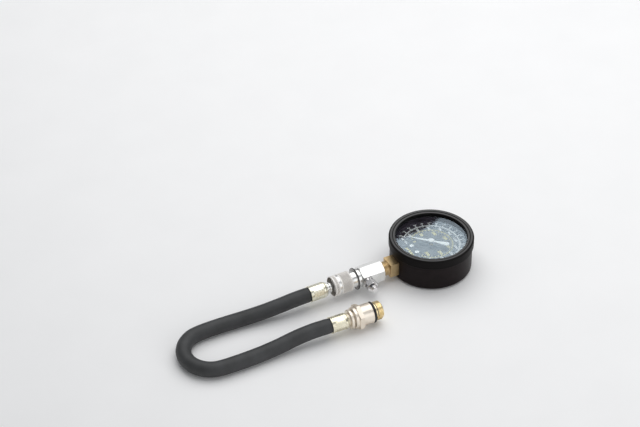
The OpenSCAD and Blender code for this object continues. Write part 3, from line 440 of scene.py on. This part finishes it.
shader.inputs["Metallic"].default_value = 1.0
value_between(tree, grain_noise(tree, (1, 1, 1)), 0.26, 0.40, shader.inputs["Roughness"])
by_radius(tree, shader.inputs["Base Color"], *ABOVE_BACK, SCREW_STOPS)
print("finishes by place: bezel_paint, satin_nickel, disc_steel, screw_steel")

# %% [markdown]
# ## Window
# The window is a plain clear disc. A full glass shader would throw the dial into shadow,
# so it is made of clear film that mirrors a little, more so at a shallow angle, as any pane does.
# A faint smear changes the mirror's gloss from place to place.

# %% Window
CLEAR_TINT = (0.97, 0.985, 0.98, 1)
MIRROR_TINT = (0.74, 0.88, 1.0, 1)
MIRROR_ROUGH = (0.015, 0.03)
SMEAR_GRAIN = (14, 5, 14)
SMEAR_TURN = 0.5
SHARE_HEAD_ON = 0.107
SHARE_GROWS = 0.95
SLANT_POWER = 5.0
window_glass = bpy.data.materials.new("window_glass")
window_glass.use_nodes = True
tree = window_glass.node_tree
tree.nodes.remove(tree.nodes["Principled BSDF"])
clear = tree.nodes.new("ShaderNodeBsdfTransparent")
clear.inputs["Color"].default_value = CLEAR_TINT
mirror = tree.nodes.new("ShaderNodeBsdfGlossy")
mirror.inputs["Color"].default_value = MIRROR_TINT
value_between(tree, grain_noise(tree, SMEAR_GRAIN, SMEAR_TURN), *MIRROR_ROUGH, mirror.inputs["Roughness"])
facing = tree.nodes.new("ShaderNodeLayerWeight")
facing.inputs["Blend"].default_value = 0.5
steep = tree.nodes.new("ShaderNodeMath")
steep.operation = "POWER"
steep.inputs[1].default_value = SLANT_POWER
share = tree.nodes.new("ShaderNodeMath")
share.operation = "MULTIPLY_ADD"
share.inputs[1].default_value = SHARE_GROWS
share.inputs[2].default_value = SHARE_HEAD_ON
pane = tree.nodes.new("ShaderNodeMixShader")
tree.links.new(facing.outputs["Facing"], steep.inputs[0])
tree.links.new(steep.outputs[0], share.inputs[0])
tree.links.new(share.outputs[0], pane.inputs["Fac"])
tree.links.new(clear.outputs[0], pane.inputs[1])
tree.links.new(mirror.outputs[0], pane.inputs[2])
tree.links.new(pane.outputs[0], tree.nodes["Material Output"].inputs["Surface"])
print("window: clear film with a faint mirror")

# %% [markdown]
# ## Dressing the solids
# Pieces whose shape is already right keep their solid and only get a finish. Each could be dressed on
# its own, but a list keeps every one of them in view, the hidden movement included.
# No machined edge is as sharp as a knife, so nine metal pieces also get a narrow bevel. It is a modifier,
# which leaves the solid itself as it is.

# %% Dress the solids
DRESS = [
    (case_paint, ["gauge_case"]),
    (bezel_paint, ["bezel_ring"]),
    (window_glass, ["window"]),
    (dial_paint, ["dial_plate"]),
    (seal_rubber, ["window_gasket", "relief_seal", "coupler_seal", "adapter_o_ring"]),
    (stem_brass, ["stem_socket"]),
    (plate_brass, ["tube_tip", "link", "movement_bottom_plate", "movement_top_plate", "movement_pillars",
                   "sector_gear", "hairspring_collet", "dial_spacers", "valve_core", "valve_pin"]),
    (turned_steel, ["case_screws", "stop_pin", "link_pin", "sector_arbor", "pinion", "locking_balls"]),
    (screw_steel, ["dial_screws"]),
    (dial_steel, ["pointer_hub"]),
    (spring_wire, ["hairspring"]),
    (bright_nickel, ["tee_body", "coupler_body", "hose_plug"]),
    (valve_chrome, ["relief_valve_body", "relief_button"]),
    (disc_steel, ["retaining_disc"]),
    (yellow_zinc, ["near_ferrule"]),
    (far_zinc, ["far_ferrule"]),
    (warm_nickel, ["hose_end_fitting"])]
for finish, names in DRESS:
    for name in names:
        nodes[name].data.materials.clear()
        nodes[name].data.materials.append(finish)
hose.data.materials.append(hose_rubber)
BROKEN_EDGES = ["tee_body", "stem_socket", "relief_valve_body", "relief_button", "coupler_body",
                "hose_plug", "near_ferrule", "far_ferrule", "hose_end_fitting"]
WELD_GAP = 0.002
EDGE_WIDTH = 0.16
EDGE_ANGLE = math.radians(32)
for name in BROKEN_EDGES:
    weld = nodes[name].modifiers.new("weld", "WELD")
    weld.merge_threshold = WELD_GAP * MM
    bevel = nodes[name].modifiers.new("broken_edges", "BEVEL")
    bevel.width = EDGE_WIDTH * MM
    bevel.segments = 2
    bevel.limit_method = "ANGLE"
    bevel.angle_limit = EDGE_ANGLE
print("dressed:", sum(len(names) for _, names in DRESS), "solids,", len(BROKEN_EDGES), "with broken edges")

# %% [markdown]
# ## Turning on a lathe
# Round pieces are drawn as a half outline and spun. They could be cut from cylinders, but an outline shows
# the whole shape in one list. It starts as one point of a small plane and is extruded corner by corner,
# the way it is drawn by hand, then spun about the local Z axis.
# Merging doubles closes the seam, and the normals are then turned outwards.

# %% Lathe helper
MERGE_GAP = 0.001
SMOOTH_DEG = 35.0


def nothing_selected():
    """Leaves edit mode and clears the selection."""
    if bpy.context.mode != "OBJECT":
        bpy.ops.object.mode_set(mode="OBJECT")
    bpy.ops.object.select_all(action="DESELECT")


def drawn_line(name, points):
    """An object in edit mode with one open line through the points, given in millimetres."""
    nothing_selected()
    bpy.ops.mesh.primitive_plane_add(size=MM)
    bpy.context.object.name = name
    bpy.ops.object.mode_set(mode="EDIT")
    bpy.ops.mesh.select_mode(type="VERT")
    bpy.ops.mesh.select_all(action="SELECT")
    bpy.ops.mesh.merge(type="CENTER")
    bpy.ops.transform.translate(value=Vector(points[0]) * MM)
    for a, b in zip(points, points[1:]):
        step = (Vector(b) - Vector(a)) * MM
        bpy.ops.mesh.extrude_vertices_move(TRANSFORM_OT_translate={"value": step})
    bpy.ops.mesh.select_all(action="SELECT")
    return bpy.context.object


def tidy_mesh():
    """Closes seams and turns all faces outwards; leaves edit mode."""
    bpy.ops.mesh.select_all(action="SELECT")
    bpy.ops.mesh.remove_doubles(threshold=MERGE_GAP * MM)
    bpy.ops.mesh.normals_make_consistent(inside=False)
    bpy.ops.object.mode_set(mode="OBJECT")


def turned_piece(name, outline, steps):
    """A closed outline of (radius, height) corners, spun once round the local Z axis."""
    corners = [(r, 0, h) for r, h in outline]
    piece = drawn_line(name, corners + corners[:1])
    bpy.ops.mesh.remove_doubles(threshold=MERGE_GAP * MM)
    bpy.ops.mesh.select_all(action="SELECT")
    bpy.ops.mesh.spin(steps=steps, angle=2 * math.pi, center=(0, 0, 0), axis=(0, 0, 1))
    tidy_mesh()
    return piece


def pick(piece, kind, test):
    """Selects the vertices or faces that pass the test and stays in edit mode."""
    bpy.ops.object.mode_set(mode="EDIT")
    bpy.ops.mesh.select_mode(type=kind)
    bpy.ops.mesh.select_all(action="DESELECT")
    bpy.ops.object.mode_set(mode="OBJECT")
    found = 0
    for item in piece.data.vertices if kind == "VERT" else piece.data.polygons:
        item.select = test(item)
        found += item.select
    bpy.ops.object.mode_set(mode="EDIT")
    return found


def put_in_place(piece, at_mm, rotation, smooth_deg=SMOOTH_DEG):
    """Moves a piece from the bench to its place, applies that place and smooths its round faces."""
    nothing_selected()
    piece.select_set(True)
    bpy.context.view_layer.objects.active = piece
    piece.location = Vector(at_mm) * MM
    piece.rotation_euler = rotation
    bpy.ops.object.transform_apply(location=True, rotation=True, scale=True)
    bpy.ops.object.shade_smooth_by_angle(angle=math.radians(smooth_deg))


ON_STEM = ((0, 0, STEM_Z), (math.pi / 2, 0, 0))
ON_FAR = (FAR_RIM, (-math.pi / 2, 0, -FAR_TURN))
print("lathe helpers ready")

# %% [markdown]
# ## Knurled sleeve
# The sleeve is pulled back by hand, so it has a diamond knurl in two bands with a smooth groove between.
# A bump texture would leave the outline smooth. Here the sleeve is spun with many rows, every other
# point of a band is pushed in, and each square is split along its low corners, which leaves small pyramids.

# %% Knurled sleeve
SLEEVE_R = 9.9
SLEEVE_BACK = 89.3
SLEEVE_FRONT = 108.8
BANDS = ((90.1, 100.9), (103.9, 107.9))
SMOOTH_BAND = (101.4, 103.4)
GROOVE_R = 9.55
OUTSIDE_R = 9.0
SPRING_BORE = 8.05
SPRING_SEAT = 97.3
BODY_BORE = 7.05
MOUTH_BORE = 8.9
MOUTH_SEAT = 104.7
KNURL_COLUMNS = 68
KNURL_PITCH = 2 * math.pi * SLEEVE_R / KNURL_COLUMNS
KNURL_DEPTH = 0.40
KNURL_SMOOTH_DEG = 12.0


def band_rows(low, high):
    """Heights of the rows of a knurled band, an even number of pitches apart."""
    count = 2 * round((high - low) / KNURL_PITCH / 2)
    return [low + (high - low) * k / count for k in range(count + 1)]


rows = [band_rows(*band) for band in BANDS]
outline = [(SPRING_BORE, SLEEVE_BACK), (9.3, SLEEVE_BACK), (SLEEVE_R - 0.15, 89.65)]
outline += [(SLEEVE_R, h) for h in rows[0]]
outline += [(SLEEVE_R, 101.3), (GROOVE_R, 101.5), (GROOVE_R, 103.3), (SLEEVE_R, 103.5)]
outline += [(SLEEVE_R, h) for h in rows[1]]
outline += [(SLEEVE_R - 0.15, 108.35), (9.4, SLEEVE_FRONT), (8.95, SLEEVE_FRONT), (MOUTH_BORE, 108.7)]
outline += [(MOUTH_BORE, MOUTH_SEAT), (BODY_BORE, MOUTH_SEAT)]
outline += [(BODY_BORE, SPRING_SEAT), (SPRING_BORE, SPRING_SEAT)]
sleeve = turned_piece("knurled_sleeve", outline, KNURL_COLUMNS)


def is_low(vertex):
    """Every other point of a knurled band, like the black squares of a chess board."""
    x, y, h = (c / MM for c in vertex.co)
    if math.hypot(x, y) < SLEEVE_R - 0.01:
        return False
    column = round(math.atan2(y, x) / (2 * math.pi) * KNURL_COLUMNS)
    for band in rows:
        row = (h - band[0]) / (band[1] - band[0])
        if 0.5 < row < len(band) - 1.5:
            return (round(row) + column) % 2 == 1
    return False


low_points = pick(sleeve, "VERT", is_low)
inward = (SLEEVE_R - KNURL_DEPTH) / SLEEVE_R
bpy.ops.transform.resize(value=(inward, inward, 1.0), center_override=(0, 0, 0))
bpy.ops.mesh.vert_connect()
bpy.ops.object.mode_set(mode="OBJECT")
put_in_place(sleeve, *ON_STEM, smooth_deg=KNURL_SMOOTH_DEG)
sleeve.data.materials.append(satin_nickel)
sleeve.data.materials.append(bright_nickel)


def is_smooth_band(face):
    """The outer faces of the groove between the two bands."""
    x, y, z = (c / MM for c in face.center)
    return SMOOTH_BAND[0] < -y < SMOOTH_BAND[1] and math.hypot(x, z - STEM_Z) > OUTSIDE_R


pick(sleeve, "FACE", is_smooth_band)
sleeve.active_material_index = 1
bpy.ops.object.material_slot_assign()
bpy.ops.object.mode_set(mode="OBJECT")
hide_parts("coupler_sleeve")
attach(sleeve, "sleeve")
print("sleeve:", low_points, "low points,", len(sleeve.data.polygons), "faces")

# %% [markdown]
# ## Cut threads
# A thread is a ridge wound round a rod. Rings would look alike from far away, but not at the ends,
# so the outline of one ridge, with a narrow flat on top, is wound with a Screw modifier. The modifier is
# applied, and the two ends are filled.

# %% Thread helper and stem thread


def wound_ridge(name, root, crest, start, pitch, turns):
    """A closed ridge of a thread, wound round the local Z axis from the start height."""
    foot = 0.46 * pitch
    land = 0.08 * pitch
    corners = [(root, 0, start - foot), (crest, 0, start - land),
               (crest, 0, start + land), (root, 0, start + foot)]
    piece = drawn_line(name, corners + corners[:1])
    tidy_mesh()
    wind = piece.modifiers.new("wind", "SCREW")
    wind.axis = "Z"
    wind.angle = 2 * math.pi
    wind.screw_offset = pitch * MM
    wind.iterations = turns
    wind.steps = wind.render_steps = 40
    bpy.ops.object.modifier_apply(modifier=wind.name)
    bpy.ops.object.mode_set(mode="EDIT")
    bpy.ops.mesh.select_all(action="SELECT")
    bpy.ops.mesh.remove_doubles(threshold=MERGE_GAP * MM)
    bpy.ops.mesh.fill_holes(sides=4)
    tidy_mesh()
    return piece


stem_thread = wound_ridge("stem_thread", root=6.4, crest=7.0, start=47.6, pitch=1.4, turns=6)
put_in_place(stem_thread, *ON_STEM)
stem_thread.data.materials.append(stem_brass)
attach(stem_thread, "gauge")
print("stem thread:", len(stem_thread.data.polygons), "faces")

# %% [markdown]
# ## Threaded adapter
# The end that screws into the engine has a hexagon, a barrel and a short thread.
# Only the thread is missing on the solid, so a copy of the solid is merged, its tip is drawn in
# ring by ring to the bottom of the thread, and the ridge is wound round it.

# %% Threaded adapter
GROOVE_END = 44.2
THREAD_ROOT = 8.15
THREAD_CREST = 8.98
RING_GAP = 0.02
BORE_LIMIT_R = 7.0


def merged_copy(node, name):
    """A copy of a solid whose loose triangles are merged, ready to be shaped."""
    nothing_selected()
    nodes[node].select_set(True)
    bpy.context.view_layer.objects.active = nodes[node]
    bpy.ops.object.duplicate()
    bpy.ops.object.parent_clear(type="CLEAR_KEEP_TRANSFORM")
    piece = bpy.context.object
    piece.name = name
    piece.data.name = name
    bpy.ops.mesh.customdata_custom_splitnormals_clear()
    bpy.ops.object.mode_set(mode="EDIT")
    bpy.ops.mesh.select_all(action="SELECT")
    bpy.ops.mesh.remove_doubles(threshold=MERGE_GAP * MM)
    bpy.ops.object.mode_set(mode="OBJECT")
    return piece


adapter = merged_copy("thread_adapter", "threaded_adapter")


def along_far(point):
    """Distance from the ferrule rim along the far axis, and radius about it, in millimetres."""
    away = Vector(point) / MM - FAR_RIM
    t = away.dot(FAR_DIR)
    return t, (away - FAR_DIR * t).length


stations = [along_far(v.co)[0] for v in adapter.data.vertices]
tip_rings = sorted({round(t, 2) for t in stations if t > GROOVE_END - RING_GAP})
for t in tip_rings:
    def in_ring(v, t=t):
        at, radius = along_far(v.co)
        return abs(at - t) < RING_GAP and radius > BORE_LIMIT_R
    pick(adapter, "VERT", in_ring)
    bpy.ops.object.mode_set(mode="OBJECT")
    widest = max((along_far(v.co)[1] for v in adapter.data.vertices if v.select), default=0.0)
    if widest:
        bpy.ops.object.mode_set(mode="EDIT")
        k = (THREAD_ROOT - max(0.0, THREAD_CREST - widest)) / widest
        bpy.ops.transform.resize(value=(k, k, k), center_override=(FAR_RIM + FAR_DIR * t) * MM)
        bpy.ops.object.mode_set(mode="OBJECT")
adapter.data.materials.clear()
adapter.data.materials.append(warm_nickel)
adapter.data.materials.append(gold_tip)
pick(adapter, "FACE", lambda face: along_far(face.center)[0] > GROOVE_END - 0.05)
adapter.active_material_index = 1
bpy.ops.object.material_slot_assign()
bpy.ops.object.mode_set(mode="OBJECT")
bpy.ops.object.shade_smooth_by_angle(angle=math.radians(SMOOTH_DEG))
tip_thread = wound_ridge("tip_thread", root=THREAD_ROOT - 0.05, crest=THREAD_CREST,
                         start=GROOVE_END + 0.9, pitch=1.5, turns=4)
put_in_place(tip_thread, *ON_FAR)
tip_thread.data.materials.append(gold_tip)
for piece in (adapter, tip_thread):
    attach(piece, "hose")
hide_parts("thread_adapter")
print("adapter tip rings at", tip_rings)

# %% [markdown]
# ## Pointer blade
# The real blade is stamped from thin sheet and is still about a millimetre wide at its tip, where the
# solid runs to a point. Drawing the whole outline again would work, but the hole for the hub is already
# in the solid. So a copy of it is turned to lie along X, its tip is spread and moved out, and the copy is
# turned back.

# %% Pointer blade
TIP_SPREAD = 3.0
TIP_FURTHER = 0.8
TIP_DEPTH = 0.05
blade = merged_copy("pointer", "pointer_blade")
reach = max(v.co.xy.length for v in blade.data.vertices)
tip_points = [v.co.xy for v in blade.data.vertices if v.co.xy.length > reach - TIP_DEPTH * MM]
tip_middle = sum(tip_points, Vector((0.0, 0.0))) / len(tip_points)
blade_turn = math.atan2(tip_middle.y, tip_middle.x)
put_in_place(blade, (0, 0, 0), (0, 0, -blade_turn))
tip_count = pick(blade, "VERT", lambda v: v.co.x > reach - TIP_DEPTH * MM)
bpy.ops.transform.resize(value=(1, TIP_SPREAD, 1), center_override=(reach, 0, 0))
bpy.ops.transform.translate(value=(TIP_FURTHER * MM, 0, 0))
bpy.ops.object.mode_set(mode="OBJECT")
put_in_place(blade, (0, 0, 0), (0, 0, blade_turn))
blade.data.materials.clear()
blade.data.materials.append(white_paint)
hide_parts("pointer")
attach(blade, "pointer")
print("pointer blade:", tip_count, "tip points, reach", round(reach / MM + TIP_FURTHER, 2), "mm")

# %% [markdown]
# ## Springs and the tube
# Each coil spring is pressed shorter by the piece that moves, and the bent tube of the gauge opens at its
# free end. A solid can't do that. Here a copy of each coil and of the tube is made from its solid,
# smoothed and given its finish, and the solid is hidden; the copies keep the shape of the solids.

# %% Springs and tube
COIL_SMOOTH_DEG = 70.0
# solid, piece, body, joint, axis, then in millimetres: the end that stays, the length at rest, the stroke
COILS = [
    ("relief_spring", "relief_coil", "gauge", "relief_press", (1, 0, 0), (13.6, -74.0, STEM_Z), 7.25, 1.6),
    ("coupler_spring", "coupler_coil", "gauge", "sleeve_pull", (0, 1, 0), (0, -91.4, STEM_Z), 5.8, 3.5),
    ("valve_spring", "valve_coil", "hose", "valve_push", FAR_DIR, FAR_RIM + FAR_DIR * 34.75, 4.05, 1.5)]
for node, name, body, joint, axis, fixed_end, length, stroke in COILS:
    coil = merged_copy(node, name)
    bpy.ops.object.shade_smooth_by_angle(angle=math.radians(COIL_SMOOTH_DEG))
    coil.data.materials.clear()
    coil.data.materials.append(spring_wire)
    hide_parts(node)
    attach(coil, body)
    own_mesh(coil)
opening_tube = merged_copy("bourdon_tube", "opening_tube")
bpy.ops.object.shade_smooth_by_angle(angle=math.radians(SMOOTH_DEG))
opening_tube.data.materials.clear()
opening_tube.data.materials.append(plate_brass)
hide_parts("bourdon_tube")
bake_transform(opening_tube)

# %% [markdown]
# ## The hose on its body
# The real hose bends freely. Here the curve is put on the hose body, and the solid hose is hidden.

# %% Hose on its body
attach(hose, "hose")
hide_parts("hose")

# %% [markdown]
# ## Dial print: lines
# The scale is screen printed, a film of paint on the black plate. A texture would blur when seen close,
# so the print is thin geometry. A line is a short edge spun part of a turn and given its thickness;
# the ticks are one small plane, spun as copies.

# %% Scale lines
PRINT_LOW = 25.19
PRINT_T = 0.06
ZERO_CLOCKWISE = 230.0
ZERO = math.radians(90 - ZERO_CLOCKWISE)
BAR = math.radians(13.3)
BAR_PER_PSI = 0.0689476
PSI = BAR * BAR_PER_PSI


def thicken(piece, turn):
    """Gives a flat print its thickness and sets it on the dial, turned to its place."""
    bpy.ops.mesh.select_all(action="SELECT")
    bpy.ops.mesh.remove_doubles(threshold=MERGE_GAP * MM)
    bpy.ops.mesh.extrude_region_move(TRANSFORM_OT_translate={"value": (0, 0, PRINT_T * MM)})
    tidy_mesh()
    put_in_place(piece, (0, 0, PRINT_LOW), (0, 0, turn))
    return piece


def scale_line(name, inner, outer, sweep):
    """A printed arc between two radii, from zero round the given sweep."""
    line = drawn_line(name, [(inner, 0, 0), (outer, 0, 0)])
    steps = max(8, round(abs(math.degrees(sweep)) / 2.5))
    bpy.ops.mesh.spin(steps=steps, angle=sweep, center=(0, 0, 0), axis=(0, 0, 1))
    return thicken(line, ZERO)


def scale_ticks(name, inner, outer, width, pitch, count, start=ZERO):
    """A row of printed ticks between two radii, one pitch apart."""
    middle = ((inner + outer) / 2 * MM, 0, 0)
    nothing_selected()
    bpy.ops.mesh.primitive_plane_add(size=MM, location=middle)
    tick = bpy.context.object
    tick.name = name
    bpy.ops.object.transform_apply(location=True)
    bpy.ops.object.mode_set(mode="EDIT")
    bpy.ops.mesh.select_all(action="SELECT")
    bpy.ops.transform.resize(value=(outer - inner, width, 1), center_override=middle)
    bpy.ops.mesh.spin(steps=count - 1, dupli=True, angle=pitch * (count - 1),
                      center=(0, 0, 0), axis=(0, 0, 1))
    return thicken(tick, start)


white_print = [
    scale_line("bar_line", 27.4, 28.4, 20 * BAR),
    scale_ticks("bar_ticks", 26.4, 30.4, 1.0, BAR, 21),
    scale_ticks("half_bar_ticks", 26.6, 28.0, 0.75, BAR, 20, ZERO - BAR / 2)]
yellow_lines = [
    scale_line("psi_line", 21.0, 21.5, 300 * PSI),
    scale_ticks("psi_ticks", 19.9, 21.4, 0.8, 10 * PSI, 31),
    scale_ticks("fifty_psi_ticks", 18.9, 21.4, 0.9, 50 * PSI, 7)]
print("scale lines:", [piece.name for piece in white_print + yellow_lines])

# %% [markdown]
# ## Dial print: numerals
# Numerals could be drawn by hand, but each is simpler as a text object with a little extrusion. It becomes
# a mesh before it is put in place, and all numerals of one colour are joined, because they are one pass
# of the printing screen.

# %% Numerals
LETTER_BOX = 1.4
BOLDER = 0.055
BAR_NUMERAL_R = 32.0
KPA_NUMERAL_R = 24.2
KPA_SHIFT = 0.2
PSI_NUMERAL_R = 16.2
PSI_SHIFT = math.radians(12)
BAR_WORDS_AT = (-15.6, -20.6)
PSI_WORDS_AT = (0.8, -24.0)


def numeral(words, height, x, y):
    """Upright printed words of that height, centred at x and y on the dial."""
    nothing_selected()
    bpy.ops.object.text_add(location=(0, 0, 0))
    text = bpy.context.object
    text.data.body = words
    text.data.align_x = "CENTER"
    text.data.align_y = "CENTER"
    text.data.size = height * LETTER_BOX * MM
    text.data.offset = BOLDER * height * MM
    text.data.extrude = PRINT_T / 2 * MM
    text.data.resolution_u = 2
    bpy.ops.object.convert(target="MESH")
    bpy.ops.object.mode_set(mode="EDIT")
    tidy_mesh()
    put_in_place(text, (x, y, PRINT_LOW + PRINT_T / 2), (0, 0, 0))
    return text


def around(radius, angle):
    """The place at that radius and angle on the dial."""
    return radius * math.cos(angle), radius * math.sin(angle)


def joined(name, pieces, finish):
    """All prints of one colour as one piece that rides the gauge."""
    nothing_selected()
    for piece in pieces:
        piece.select_set(True)
    bpy.context.view_layer.objects.active = pieces[0]
    bpy.ops.object.join()
    result = bpy.context.object
    result.name = name
    result.data.name = name
    result.data.materials.append(finish)
    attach(result, "gauge")
    return result


for k in range(21):
    white_print.append(numeral(str(k), 2.8, *around(BAR_NUMERAL_R, ZERO - k * BAR)))
for k in range(1, 20, 2):
    white_print.append(numeral(str(100 * k), 2.3, *around(KPA_NUMERAL_R, ZERO - (k - KPA_SHIFT) * BAR)))
white_print.append(numeral("bar  kPa", 2.2, *BAR_WORDS_AT))
for k in range(7):
    place = around(PSI_NUMERAL_R, ZERO - (50 * k * PSI - PSI_SHIFT))
    yellow_lines.append(numeral(str(50 * k), 3.0, *place))
yellow_lines.append(numeral("psi lb/in2", 2.5, *PSI_WORDS_AT))
white_dial = joined("white_dial_print", white_print, white_paint)
yellow_dial = joined("yellow_dial_print", yellow_lines, yellow_print)
print("dial print:", len(white_dial.data.polygons), "white faces")
print("dial print:", len(yellow_dial.data.polygons), "yellow faces")
